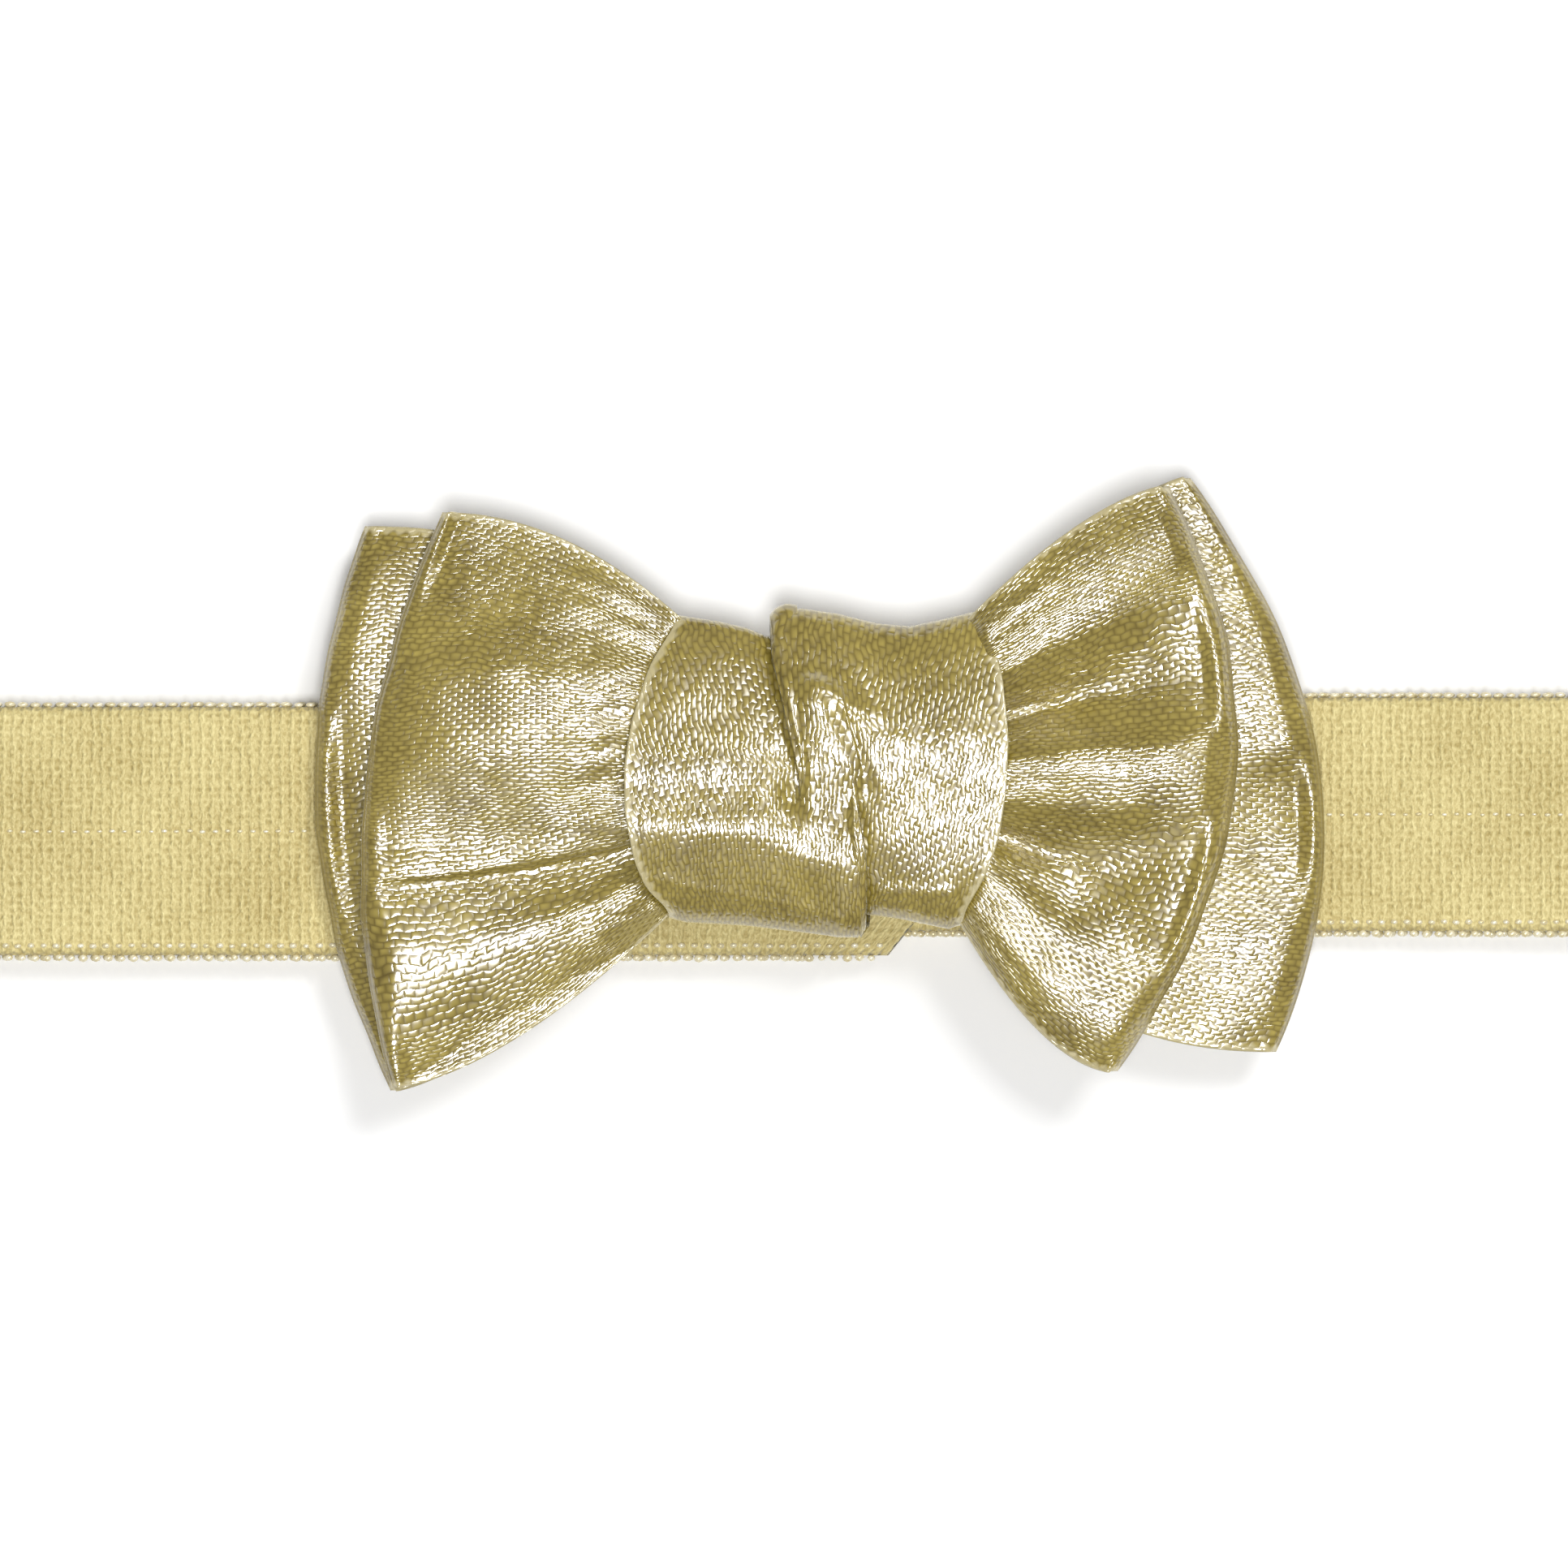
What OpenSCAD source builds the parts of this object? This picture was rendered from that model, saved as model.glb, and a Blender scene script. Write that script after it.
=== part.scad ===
// Pre-made satin gift bow on a stretch loop.
// Two flattened ribbon rings are gathered at the waist, cinched with thread and wrapped by a knotted
// strip of narrower satin. The bow is glued onto the overlapped ends of a fold-over elastic loop,
// which lies flat: its front run passes under the bow and its back run lies on the table.
// The origin is on the table, under the middle of the flat part. +X runs along the elastic, +Y up the
// bow's face and +Z away from the table, towards whoever looks at the bow.

/* [Elastic loop] */
// Relaxed length of the closed elastic loop
loop_l = 254; // [200:2:400]
// Width of the elastic
band_w = 15.9; // [12:0.1:18]
// Thickness of the elastic
band_t = 0.9; // [0.6:0.05:1]
// How far the glued ends overlap under the knot
overlap_l = 14; // [8:1:18]
// Where the middle of the left run lies along Y
left_run_y = -2.95; // [-3.5:0.05:0]
// Where the middle of the right run lies along Y
right_run_y = -1.9; // [-3.5:0.05:0]

/* [Bow ribbon] */
// Width of the bow's ribbon
ribbon_w = 38; // [34:0.5:42]
// Thickness of the satin
ribbon_t = 0.3; // [0.2:0.05:0.4]
// Reach of the front ring from the bow's middle
front_reach = 26.8; // [24:0.1:28]
// Reach of the back ring from the bow's middle
back_reach = 31; // [29:0.1:34]
// Lean of the front ring's folds in the bow's plane, clockwise negative
front_lean = -5; // [-8:0.5:0]
// Lean of the back ring's folds in the bow's plane
back_lean = 5.6; // [0:0.2:8]

/* [Knot] */
// Width of the knot along the elastic
knot_w = 23.4; // [18:0.2:24]
// Half the height of the gathered waist inside the knot
waist_h = 9.1; // [8:0.1:9.4]
// Thickness of the doubled knot strip
knot_t = 0.45; // [0.3:0.05:0.5]
// Diameter of the cinching thread
thread_d = 0.25; // [0.2:0.05:0.3]
// Turns of the cinching thread
thread_turns = 5; // [3:1:8]

/* [Hidden] */

$fn = 48;
gap = 0.1;                                  // air between parts that lie on each other
bow = [1.9, 0.6];                           // middle of the bow in plan
end_x = loop_l / 4;                         // the flat loop ends at this X, on either side
join_x = bow.x - 1.6;                       // middle of the elastic's glued overlap

// The stack under and in the knot, from the table up.
film_t = 0.2;                               // thickness of each glue film
right_z0 = band_t + gap;                    // elastic end underneath
left_z0 = right_z0 + band_t + film_t;       // elastic end on top
band_top = left_z0 + band_t;
tail_z0 = band_top + film_t;                // free ends of the knot strip
wrap_z0 = tail_z0 + ribbon_t + film_t;      // underside of the knot
thread_z0 = wrap_z0 + knot_t + gap;         // underside of the cinching thread
waist_z0 = thread_z0 + thread_d + gap / 2;  // underside of the gathered ribbon
pleat_a = 0.9;                              // height of a pleat above its middle
pleat_n = 3;                                // pleats across the waist
layer_dz = 0.55;                            // rise from one ribbon layer to the next
waist_z1 = waist_z0 + 2 * pleat_a + 4 * layer_dz;
thread_z1 = waist_z1 + gap / 2 + thread_d;
wrap_z1 = thread_z1 + gap + knot_t;         // top of the knot

// The knot goes round the waist and its thread, with round edges about the same centres.
wrap_h = waist_h + thread_d + 2 * gap + knot_t;
wrap_r = 2.4;
thread_r = wrap_r - knot_t - gap;
waist_r = thread_r - thread_d - gap / 2;

// The loops start beside the knot.
body_gap = 0.3;                             // air between parts that move apart
loop_x0 = knot_w / 2 + body_gap;
loop_h0 = waist_h + 3.2;                    // half a loop's height where it leaves the knot
back_z0 = waist_z0 + gap / 2;
back_z1 = back_z0 + 1.9;
back_fold_z0 = band_top + body_gap;
back_fold_r = 0.95;
front_z0 = back_z1 + body_gap;
front_z1 = waist_z1 + gap;
front_fold_z0 = back_fold_z0 + 2 * back_fold_r + 2.2 * body_gap;
front_fold_r = 1.4;
front_crest = 1.6;

section_n = 9;                              // sections across the ribbon
wall_n = 9;                                 // steps along each wall
fold_n = 6;                                 // steps round the fold

// Each loop's fold: its reach, its lean, how far its middle lies above the bow's middle, how far it
// bulges past its corners, and how much narrower than the ribbon it is from corner to corner.
front_left_fold = [front_reach + 0.9, front_lean, -1.6, 3.3, 2.1];
front_right_fold = [front_reach - 0.8, front_lean, -0.3, 5.8, 1.4];
back_left_fold = [back_reach, back_lean - 3, -2.2, 3.9, 2.8];
back_right_fold = [back_reach, back_lean + 3, 0.65, 5.4, 1.7];

satin = "palegoldenrod";
satin_shade = "darkkhaki";
elastic = "lemonchiffon";

function mix(a, b, s) = a + (b - a) * s;

// ---------------------------------------------------------------- elastic

left_fold_x = -end_x + band_top / 2;
right_fold_x = end_x - band_top / 2;

module front_run(x_end, x_knot, x_fold, y, z_knot) {
    // Level under the knot, from x_end to x_knot, then a slope up or down to the fold.
    z_fold = band_top - band_t;
    translate([0, y + band_w / 2, 0])
        rotate([90, 0, 0])
            linear_extrude(band_w)
                polygon([
                    [x_end, z_knot], [x_knot, z_knot], [x_fold, z_fold],
                    [x_fold, z_fold + band_t], [x_knot, z_knot + band_t], [x_end, z_knot + band_t]
                ]);
}

module band_fold(side, y) {
    // The elastic turns over from the front run to the back run on the table.
    r = band_top / 2;
    turn_x = side * (end_x - r);
    translate([turn_x, y + band_w / 2, r])
        rotate([90, 0, 0])
            linear_extrude(band_w)
                intersection() {
                    difference() {
                        circle(r);
                        circle(r - band_t);
                    }
                    translate([side > 0 ? gap : -r, -r]) square([r - gap, 2 * r]);
                }
}

module band_back_run() {
    color(elastic)
        linear_extrude(band_t)
            polygon([
                [left_fold_x, left_run_y - band_w / 2], [right_fold_x, right_run_y - band_w / 2],
                [right_fold_x, right_run_y + band_w / 2], [left_fold_x, left_run_y + band_w / 2]
            ]);
}

module band_front_left() {
    color(elastic)
        front_run(join_x + overlap_l / 2, bow.x - knot_w / 2, left_fold_x, left_run_y, left_z0);
}

module band_front_right() {
    color(elastic)
        front_run(join_x - overlap_l / 2, bow.x + knot_w / 2, right_fold_x, right_run_y, right_z0);
}

module band_fold_left() {
    color(elastic) band_fold(-1, left_run_y);
}

module band_fold_right() {
    color(elastic) band_fold(1, right_run_y);
}

// ---------------------------------------------------------------- glue

module film(size, y, z0) {
    // A film of hot-melt glue, level, centred on the overlap.
    color("white", 0.6)
        translate([join_x - size.x / 2, y - size.y / 2, z0])
            cube([size.x, size.y, film_t]);
}

module band_join_glue() {
    film([overlap_l - 3, band_w - 4], (left_run_y + right_run_y) / 2, left_z0 - film_t);
}

module bow_glue() {
    film([overlap_l - 3, band_w - 5], left_run_y + 0.6, band_top);
}

module knot_glue() {
    film([overlap_l - 2, 6], bow.y, wrap_z0 - film_t);
}

// ---------------------------------------------------------------- gathered waist

module rounded(w, h, r) {
    // A rectangle from the origin, with round corners.
    translate([r, 0]) square([w - 2 * r, h]);
    translate([0, r]) square([w, h - 2 * r]);
    for (x = [r, w - r], y = [r, h - r])
        translate([x, y]) circle(r);
}

// Height of a pleated layer's middle above its level, at y across the waist.
function pleat(y) = pleat_a * cos(180 * pleat_n * y / waist_h);

module pleated_layer(level) {
    // One ribbon layer squeezed from its full width to the waist, as seen along X.
    steps = 48;
    ys = [for (i = [0:steps]) mix(-waist_h, waist_h, i / steps)];
    t = ribbon_t * 1.35;
    top = [for (y = ys) [y, level + pleat(y) + t / 2]];
    bottom = [for (i = [steps:-1:0]) [ys[i], level + pleat(ys[i]) - t / 2]];
    length = knot_w - 2 * gap;
    translate([bow.x - length / 2, bow.y, 0])
        rotate([90, 0, 90])
            linear_extrude(length)
                intersection() {
                    polygon(concat(top, bottom));
                    translate([-waist_h, waist_z0]) rounded(2 * waist_h, waist_z1 - waist_z0, waist_r);
                }
}

module waist(first) {
    // The two layers of one ring, nested into the layers below.
    for (i = [0, 1])
        pleated_layer(waist_z0 + pleat_a + (first + i + 0.5) * layer_dz);
}

module back_waist() {
    color(satin_shade) waist(0);
}

module front_waist() {
    color(satin) waist(2);
}

// ---------------------------------------------------------------- loops

// A loop seen along Y, as [share of its reach, z], a wall's thickness inset: the lower wall, the
// fold and the upper wall. puff is 1 in the middle of the ribbon, and less towards its edges.
function loop_section(reach, z0, z1, fold_z0, fold_r, crest, puff, inset) =
    let (
        length = reach - loop_x0,
        r = fold_r * puff - inset,
        fold_z = fold_z0 + fold_r * puff,
        s1 = 1 - fold_r * puff / length,
        s0 = inset / length,
        lower = [for (i = [0:wall_n - 1]) let (s = i / wall_n)
            [mix(s0, s1, s), mix(z0 + inset, fold_z - r, s)]],
        fold = [for (i = [0:fold_n]) let (a = -90 + 180 * i / fold_n)
            [s1 + r * cos(a) / length, fold_z + r * sin(a)]],
        upper = [for (i = [wall_n - 1:-1:0]) let (s = i / wall_n)
            [mix(s0, s1, s), mix(z1 - inset, fold_z + r, s) + crest * puff * sin(180 * s)]]
    )
    concat(lower, fold, upper);

// Where a section's point lies: s is its share of the reach, v runs from -1 to 1 across the ribbon.
function loop_point(side, fold, p, v) =
    let (
        s = p.x,
        half = (ribbon_w - fold[4]) / 2,
        start = [side * loop_x0, v * loop_h0],
        corner_line = [side * (fold[0] - fold[3]) - v * half * sin(fold[1]),
                       fold[2] + v * half * cos(fold[1])],
        tip = corner_line + [side * fold[3] * (1 - v * v), 0]
    )
    [mix(start.x, tip.x, s), mix(start.y, tip.y, s) + 1.2 * v * sin(180 * min(1, s)), p.y];

module ribbon_loop(side, fold, z0, z1, fold_z0, fold_r, crest) {
    vs = [for (j = [0:section_n - 1]) mix(-1, 1, j / (section_n - 1))];
    layers = [
        for (v = vs, inset = [0, ribbon_t])
            loop_section(fold[0], z0, z1, fold_z0, fold_r, crest, 1 - 0.4 * v * v, inset)
    ];
    m = len(layers[0]);
    points = [
        for (j = [0:section_n - 1], layer = [0, 1], p = layers[2 * j + layer])
            loop_point(side, fold, p, vs[j])
    ];
    function at(j, i, layer) = (2 * j + layer) * m + i % m;
    skin = [
        for (j = [0:section_n - 2], i = [0:m - 1])
            each [
                [at(j, i, 0), at(j + 1, i, 0), at(j + 1, i + 1, 0), at(j, i + 1, 0)],
                [at(j, i, 1), at(j, i + 1, 1), at(j + 1, i + 1, 1), at(j + 1, i, 1)]
            ]
    ];
    last = section_n - 1;
    rims = [
        for (i = [0:m - 1])
            each [
                [at(0, i, 0), at(0, i + 1, 0), at(0, i + 1, 1), at(0, i, 1)],
                [at(last, i, 0), at(last, i, 1), at(last, i + 1, 1), at(last, i + 1, 0)]
            ]
    ];
    quads = concat(skin, rims);
    // The left side is a mirror image, so its faces turn the other way.
    turned = side > 0 ? quads : [for (f = quads) [f[3], f[2], f[1], f[0]]];
    translate([bow.x, bow.y, 0])
        polyhedron(points, [for (f = turned) each [[f[0], f[1], f[2]], [f[0], f[2], f[3]]]]);
}

module back_loop(side, fold) {
    color(satin_shade)
        ribbon_loop(side, fold, back_z0, back_z1, back_fold_z0, back_fold_r, 0);
}

module front_loop(side, fold) {
    color(satin)
        ribbon_loop(side, fold, front_z0, front_z1, front_fold_z0, front_fold_r, front_crest);
}

// ---------------------------------------------------------------- thread and knot

module ring_about_waist(half_h, z0, z1, t, r, x0, x1) {
    // A tube along X from x0 to x1, with a wall of t inside the stated outer size.
    translate([x0, bow.y - half_h, z0])
        rotate([90, 0, 90])
            linear_extrude(x1 - x0)
                difference() {
                    rounded(2 * half_h, z1 - z0, r);
                    translate([t, t]) rounded(2 * (half_h - t), z1 - z0 - 2 * t, r - t);
                }
}

module waist_thread() {
    pitch = thread_d * 1.4;
    half_h = waist_h + thread_d + gap / 2;
    color("wheat")
        for (i = [0:thread_turns - 1])
            translate([(i - (thread_turns - 1) / 2) * pitch, 0, 0])
                ring_about_waist(half_h, thread_z0, thread_z1, thread_d, thread_r,
                                 bow.x - thread_d / 2, bow.x + thread_d / 2);
}

module knot_wrap(side) {
    // One turn of the knot strip, on either side of where the strip crosses over itself.
    x0 = side < 0 ? bow.x - knot_w / 2 : bow.x + gap;
    x1 = side < 0 ? bow.x - gap : bow.x + knot_w / 2;
    color(satin)
        ring_about_waist(wrap_h, wrap_z0, wrap_z1, knot_t, wrap_r, x0, x1);
}

module knot_crossover() {
    // The diagonal fold that carries the strip from the upper right turn to the lower left one.
    lean = 12;
    width = 5.6;
    thick = 1.2;
    radius = 4;
    length = 2 * (wrap_h - wrap_r);
    color(satin)
        translate([bow.x, bow.y, wrap_z1 + gap / 2])
            rotate([90, 0, lean])
                translate([0, 0, -length / 2])
                    linear_extrude(length)
                        intersection() {
                            translate([0, thick - radius]) circle(radius);
                            translate([-width / 2, 0]) square([width, thick]);
                        }
}

module knot_tail() {
    // The knot strip's two free ends, side by side behind the knot.
    size = [knot_w - 6, 9, ribbon_t];
    slit = 0.3;
    color(satin_shade)
        for (side = [-1, 1])
            translate([bow.x + (side < 0 ? -size.x / 2 : slit / 2), bow.y - size.y / 2, tail_z0])
                cube([(size.x - slit) / 2, size.y, size.z]);
}

band_back_run();
band_front_left();
band_front_right();
band_fold_left();
band_fold_right();
band_join_glue();
bow_glue();
knot_tail();
knot_glue();
knot_wrap(-1);  // knot_wrap_left
knot_wrap(1);  // knot_wrap_right
knot_crossover();
waist_thread();
back_waist();
front_waist();
back_loop(-1, back_left_fold);  // back_loop_left
back_loop(1, back_right_fold);  // back_loop_right
front_loop(-1, front_left_fold);  // front_loop_left
front_loop(1, front_right_fold);  // front_loop_right
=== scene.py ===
"""Looks of the pre-made gift bow: satin rings, a knotted centre and a fold-over elastic loop.

Every piece is a ribbon worked out in millimetres from the CAD frame, then scaled to metres.
"""
import math

import bpy
import numpy as np
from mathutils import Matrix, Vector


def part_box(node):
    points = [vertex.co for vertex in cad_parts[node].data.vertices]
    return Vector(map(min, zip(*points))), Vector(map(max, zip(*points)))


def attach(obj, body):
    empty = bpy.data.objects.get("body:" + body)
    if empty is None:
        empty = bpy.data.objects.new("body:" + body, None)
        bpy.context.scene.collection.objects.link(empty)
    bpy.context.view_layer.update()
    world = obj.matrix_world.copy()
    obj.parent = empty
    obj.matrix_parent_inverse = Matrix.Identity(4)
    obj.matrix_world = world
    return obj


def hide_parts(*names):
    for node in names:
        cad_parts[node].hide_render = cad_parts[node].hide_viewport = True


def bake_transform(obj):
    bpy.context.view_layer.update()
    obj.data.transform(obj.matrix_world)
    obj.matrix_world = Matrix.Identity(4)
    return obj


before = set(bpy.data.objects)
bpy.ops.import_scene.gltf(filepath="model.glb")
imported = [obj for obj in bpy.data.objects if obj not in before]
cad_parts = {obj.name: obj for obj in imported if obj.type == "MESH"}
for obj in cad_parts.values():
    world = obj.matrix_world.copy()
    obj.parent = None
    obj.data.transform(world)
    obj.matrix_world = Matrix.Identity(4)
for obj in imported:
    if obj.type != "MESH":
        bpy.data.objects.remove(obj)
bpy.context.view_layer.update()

MM = 0.001


# ------------------------------------------------------------------ the frame, in millimetres

def box_mm(node):
    low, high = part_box(node)
    return np.array(low) / MM, np.array(high) / MM


KNOT_LOW, KNOT_HIGH = (
    np.minimum(box_mm("knot_wrap_left")[0], box_mm("knot_wrap_right")[0]),
    np.maximum(box_mm("knot_wrap_left")[1], box_mm("knot_wrap_right")[1]),
)
BOW_X, BOW_Y = ((KNOT_LOW + KNOT_HIGH) / 2)[:2]
KNOT_HALF_W, KNOT_HALF_H = ((KNOT_HIGH - KNOT_LOW) / 2)[:2]
KNOT_MID_Z = (KNOT_HIGH[2] + KNOT_LOW[2]) / 2
VIEW_W = 97.6           # width of the camera's view at the bow
RIBBON_W = 38.0         # the bow's ribbon, laid flat
RIBBON_T = 0.26
KNOT_STRIP_T = 0.3
BAND_T = 0.9            # the room that the elastic's thickness takes
BAND_MESH_T = 0.82      # its drawn thickness, a little less, so that its runs stay clear
GATHER_H = 0.5          # half the height of the gathers inside the knot
GATHER_PITCH = 1.3      # from one gather to the next
PARTING_X = 8.0         # how far out from the bow's middle a ring's walls begin to part
NO_FOLD = 9.0           # the distance to a fold, where there is none near


# ------------------------------------------------------------------ small maths

def mix(a, b, t):
    return a + (b - a) * t


def smooth(t):
    t = np.clip(t, 0, 1)
    return t * t * (3 - 2 * t)


def waves(x, y, seed, scale):
    """Gentle seeded noise from -1 to 1, made of a few sines; scale is its size in the units of x and y."""
    rng = np.random.default_rng(seed)
    total = 0
    for i in range(7):
        angle, phase = rng.uniform(0, 2 * math.pi, 2)
        k = rng.uniform(0.6, 1.8) * 2 * math.pi / scale
        total = total + np.sin(k * (x * math.cos(angle) + y * math.sin(angle)) + phase)
    return total / 4


# ------------------------------------------------------------------ meshes

def grid_piece(name, points, uv, place, material, thickness=0.0, flip=False):
    """A sheet through a grid of points, in mm. thickness grows to its inner side.

    uv holds the weave's (along, across) in mm, and place the mm to the nearest (fold, selvedge).
    """
    rows, cols = points.shape[:2]
    mesh = bpy.data.meshes.new(name)
    mesh.vertices.add(rows * cols)
    mesh.vertices.foreach_set("co", (points * MM).astype(np.float32).ravel())
    i, j = np.meshgrid(np.arange(rows - 1), np.arange(cols - 1), indexing="ij")
    corner = (i * cols + j).ravel()
    quads = np.stack([corner, corner + 1, corner + cols + 1, corner + cols], 1)
    if flip:
        quads = quads[:, ::-1]
    count = len(quads)
    mesh.loops.add(4 * count)
    mesh.loops.foreach_set("vertex_index", quads.astype(np.int32).ravel())
    mesh.polygons.add(count)
    mesh.polygons.foreach_set("loop_start", np.arange(0, 4 * count, 4, dtype=np.int32))
    for map_name, values in (("weave", uv), ("place", place)):
        layer = mesh.uv_layers.new(name=map_name)
        layer.data.foreach_set("uv", values.reshape(-1, 2)[quads.ravel()].astype(np.float32).ravel())
    mesh.update(calc_edges=True)
    mesh.validate()
    mesh.shade_smooth()
    mesh.materials.append(material)
    obj = bpy.data.objects.new(name, mesh)
    bpy.context.scene.collection.objects.link(obj)
    if thickness:
        solid = obj.modifiers.new("thickness", "SOLIDIFY")
        solid.thickness = thickness * MM
        solid.offset = -1
    return obj


# ------------------------------------------------------------------ materials

class Graph:
    """A material's node tree, built by short calls."""

    def __init__(self, name):
        self.material = bpy.data.materials.new(name)
        self.material.use_nodes = True
        self.tree = self.material.node_tree
        self.shader = self.tree.nodes["Principled BSDF"]

    def plug(self, socket, value):
        if isinstance(value, bpy.types.NodeSocket):
            self.tree.links.new(value, socket)
        else:
            socket.default_value = value

    def node(self, kind, out=0, **inputs):
        made = self.tree.nodes.new(kind)
        for key, value in inputs.items():
            self.plug(made.inputs[key.replace("_", " ")], value)
        return made.outputs[out]

    def math(self, operation, *values):
        made = self.tree.nodes.new("ShaderNodeMath")
        made.operation = operation
        for socket, value in zip(made.inputs, values):
            self.plug(socket, value)
        return made.outputs[0]

    def vector(self, x, y, z=0.0):
        return self.node("ShaderNodeCombineXYZ", X=x, Y=y, Z=z)

    def noise(self, vector, scale, detail=2.0):
        return self.node("ShaderNodeTexNoise", Vector=vector, Scale=scale, Detail=detail)

    def between(self, factor, low, high):
        """low to high, two colours, by factor."""
        made = self.tree.nodes.new("ShaderNodeMix")
        made.data_type = "RGBA"
        self.plug(made.inputs["Factor"], factor)
        for socket, value in zip([s for s in made.inputs if s.type == "RGBA"], (low, high)):
            self.plug(socket, value)
        return next(s for s in made.outputs if s.type == "RGBA")

    def mapped(self, value, low, high, to_low=0.0, to_high=1.0):
        made = self.tree.nodes.new("ShaderNodeMapRange")
        for socket, v in zip(made.inputs, (value, low, high, to_low, to_high)):
            self.plug(socket, v)
        return made.outputs[0]

    def bump(self, height, distance, strength=1.0, normal=None):
        made = self.tree.nodes.new("ShaderNodeBump")
        self.plug(made.inputs["Height"], height)
        made.inputs["Distance"].default_value = distance
        made.inputs["Strength"].default_value = strength
        if normal is not None:
            self.plug(made.inputs["Normal"], normal)
        return made.outputs[0]

    def map_xy(self, name):
        """The two values of a UV map, and both as a vector."""
        made = self.tree.nodes.new("ShaderNodeUVMap")
        made.uv_map = name
        split = self.tree.nodes.new("ShaderNodeSeparateXYZ")
        self.tree.links.new(made.outputs[0], split.inputs[0])
        return split.outputs[0], split.outputs[1], made.outputs[0]


def satin_material(name, float_l=0.72, thread_w=0.34, dome=0.0235):
    """Satin: floats in staggered rows, each a little dome that catches its own highlight.

    The cloth is a dull gold under untinted highlights, with painted shade darkening it in the gaps between
    the floats.
    Beside a pressed fold the floats are flatter; a painted highlight runs pale along the fold's crease, and
    the selvedges are paler. The sizes are in mm.
    """
    # The darker colour is painted shade in the gaps between the floats and the cloth's darker random tone;
    # the lighter one is the floats' tops.
    cloth_low, cloth_high = (0.12, 0.080, 0.003, 1), (0.49, 0.385, 0.085, 1)
    # A pale colour. It gives the selvedges their paler tone and lies on the fold's crease as a painted
    # highlight.
    selvedge_and_crease_highlight_colour = (0.62, 0.54, 0.30, 1)
    row_shift = 0.45        # of a float, from one row to the next
    sway_limit = 0.70
    g = Graph(name)
    u, v, uv = g.map_xy("weave")
    to_fold, to_edge, _ = g.map_xy("place")
    wobble = g.noise(uv, 0.55, 1.0)
    v = g.math("ADD", v, g.mapped(wobble, 0, 1, -0.4, 0.4))
    row = g.math("DIVIDE", v, thread_w)
    row_id = g.math("FLOOR", row)
    step = g.math("ADD", g.math("DIVIDE", u, float_l), g.math("MULTIPLY", row_id, row_shift))
    cell_id = g.math("FLOOR", step)
    across = g.math("SUBTRACT", g.math("MULTIPLY", g.math("FRACT", row), 2.0), 1.0)
    along = g.math("SUBTRACT", g.math("MULTIPLY", g.math("FRACT", step), 2.0), 1.0)
    hump_v = g.math("SUBTRACT", 1.0, g.math("POWER", g.math("ABSOLUTE", across), 2.6))
    hump_u = g.math("SUBTRACT", 1.0, g.math("POWER", g.math("ABSOLUTE", along), 3.0))
    height = g.math("MULTIPLY", hump_v, hump_u)
    dice = g.tree.nodes.new("ShaderNodeTexWhiteNoise")
    dice.noise_dimensions = "2D"
    g.plug(dice.inputs["Vector"], g.vector(cell_id, row_id))
    chance = dice.outputs["Value"]
    for way, spread in ((along, 1.0), (across, 7.0)):
        # Each float leans its own way, so that the sheen breaks up into sparkles.
        sway = g.mapped(g.math("FRACT", g.math("MULTIPLY", chance, spread)), 0, 1, -sway_limit, sway_limit)
        height = g.math("MULTIPLY", height, g.math("ADD", 1.0, g.math("MULTIPLY", sway, way)))
    fold_noise = g.mapped(g.noise(uv, 0.9), 0, 1, -0.5, 0.5)
    pressed = g.mapped(g.math("ADD", to_fold, fold_noise), 0.6, 1.5, 0.3, 1.0)
    height = g.math("MULTIPLY", height, g.mapped(chance, 0, 1, 0.65, 1.0))
    height = g.math("MULTIPLY", height, pressed)
    streak = g.noise(g.vector(g.math("MULTIPLY", u, 0.35), g.math("MULTIPLY", v, 2.2)), 1.0, 3.0)
    cloud = g.noise(uv, 0.22, 3.0)
    weave = g.bump(height, dome * MM, 1.0)
    slub = g.bump(streak, 0.012 * MM, 0.6, weave)
    # Painted shade: the colour is darker in the gaps between the floats, by their height. The streaks and
    # clouds add the cloth's own random tone.
    tone_and_painted_shade = g.math("ADD", g.math("MULTIPLY", height, 0.55), g.math("MULTIPLY", streak, 0.4))
    tone_and_painted_shade = g.math("ADD", tone_and_painted_shade, g.mapped(cloud, 0.3, 0.7, -0.15, 0.15))
    cloth = g.between(tone_and_painted_shade, cloth_low, cloth_high)
    weft_turn = g.math("SINE", g.math("MULTIPLY", u, 2 * math.pi / 0.9))
    selvedge = g.mapped(g.math("ADD", to_edge, g.math("MULTIPLY", weft_turn, 0.12)), 0.30, 0.55, 0.75, 0.0)
    # A painted highlight: a pale line along the fold's crease.
    crease_highlight = g.mapped(to_fold, 0.06, 0.24, 0.7, 0.0)
    selvedge_and_crease_highlight = g.math("MAXIMUM", selvedge, crease_highlight)
    g.plug(g.shader.inputs["Base Color"], g.between(selvedge_and_crease_highlight, cloth, selvedge_and_crease_highlight_colour))
    g.plug(g.shader.inputs["Roughness"], g.mapped(g.math("MULTIPLY", pressed, chance), 0, 1, 0.26, 0.17))
    g.plug(g.shader.inputs["Normal"], slub)
    g.shader.inputs["Metallic"].default_value = 0.06
    g.shader.inputs["Specular IOR Level"].default_value = 1.0
    g.shader.inputs["IOR"].default_value = 1.75
    g.shader.inputs["Sheen Weight"].default_value = 0.45
    g.shader.inputs["Sheen Roughness"].default_value = 0.35
    g.shader.inputs["Sheen Tint"].default_value = (1.0, 0.94, 0.72, 1)
    return g.material


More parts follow.
